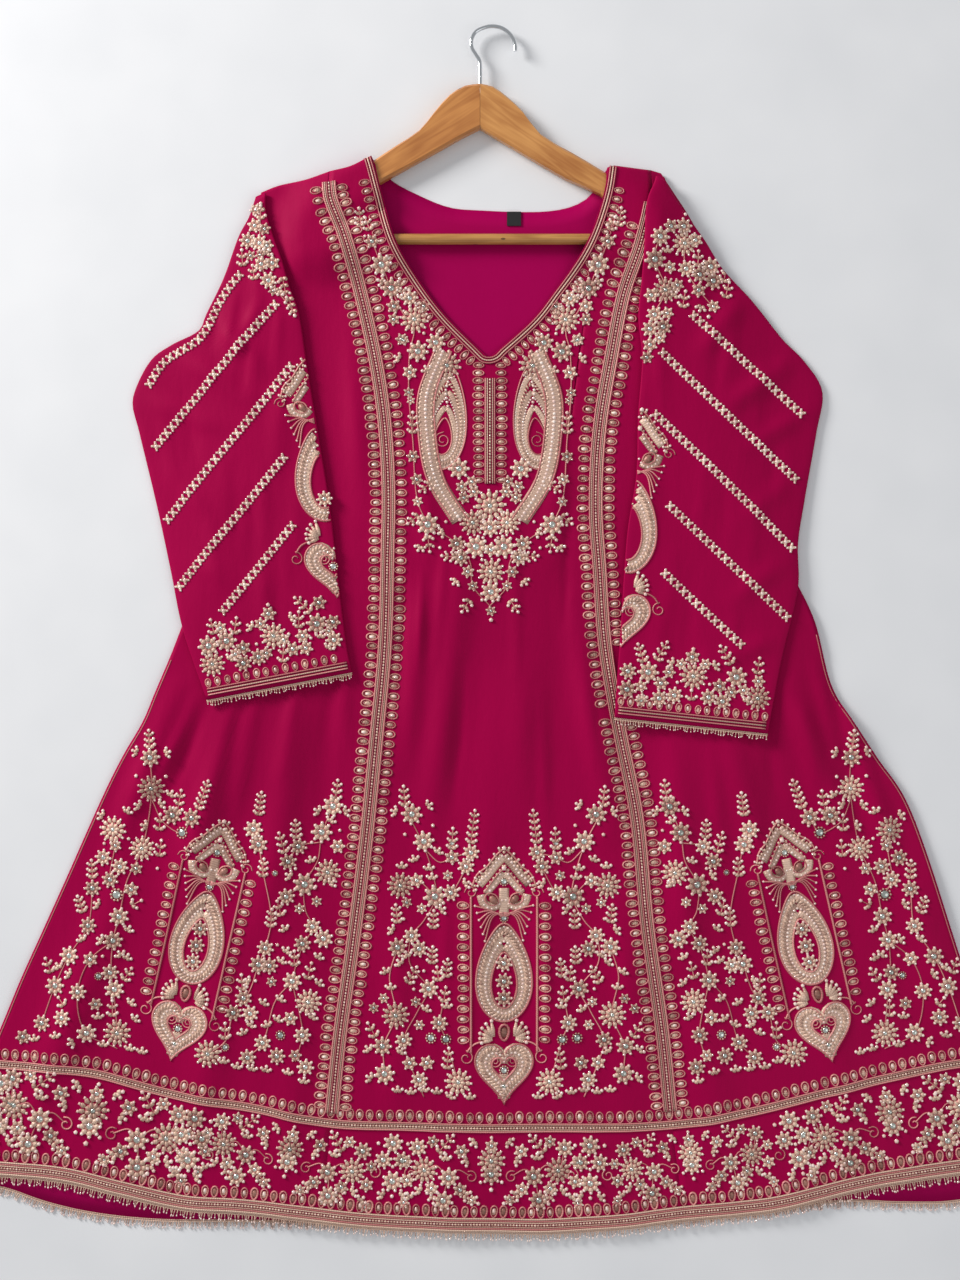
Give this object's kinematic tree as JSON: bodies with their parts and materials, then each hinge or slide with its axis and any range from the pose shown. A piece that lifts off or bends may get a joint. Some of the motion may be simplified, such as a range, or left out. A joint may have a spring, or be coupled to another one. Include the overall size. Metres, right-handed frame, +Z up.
{
  "type": "embroidered kurta on a hanger",
  "caption": "Long A-line kurta in magenta cloth with gold floral embroidery, laid flat face up with a wooden hanger inside its shoulders",
  "frame": {"origin": "middle of the laid garment's outline with its hanger, on the surface it lies on", "axes": "+X to the right of someone looking down at the front, +Y from the hem to the hanger hook, +Z up out of the front"},
  "size_m": [1.1642, 1.2734, 0.0248],
  "materials": {
    "cloth": "smooth matte magenta cloth with a faint sheen",
    "braid": "rose-gold cord with a row of champagne sequins",
    "lace": "pale gold metallic lace edging",
    "label": "black woven tag, bare",
    "wood": "honey-coloured varnished wood",
    "wire": "bright plated wire"
  },
  "bodies": {
    "root": {"back": "cloth", "front_left": "cloth", "front_centre": "cloth", "front_right": "cloth", "sleeve_left": "cloth", "sleeve_right": "cloth", "neck_braid": "braid", "placket_braid": "braid", "band_braid_left": "braid", "band_braid_right": "braid", "hem_braid_upper": "braid", "hem_braid_lower": "braid", "cuff_braid_left": "braid", "cuff_braid_right": "braid", "hem_lace_front": "lace", "hem_lace_back": "lace", "cuff_lace_left": "lace", "cuff_lace_right": "lace", "neck_label": "label", "hanger_arm_left": "wood", "hanger_arm_right": "wood", "hanger_bar": "wood", "hanger_hook": "wire"}
  },
  "joints": []
}
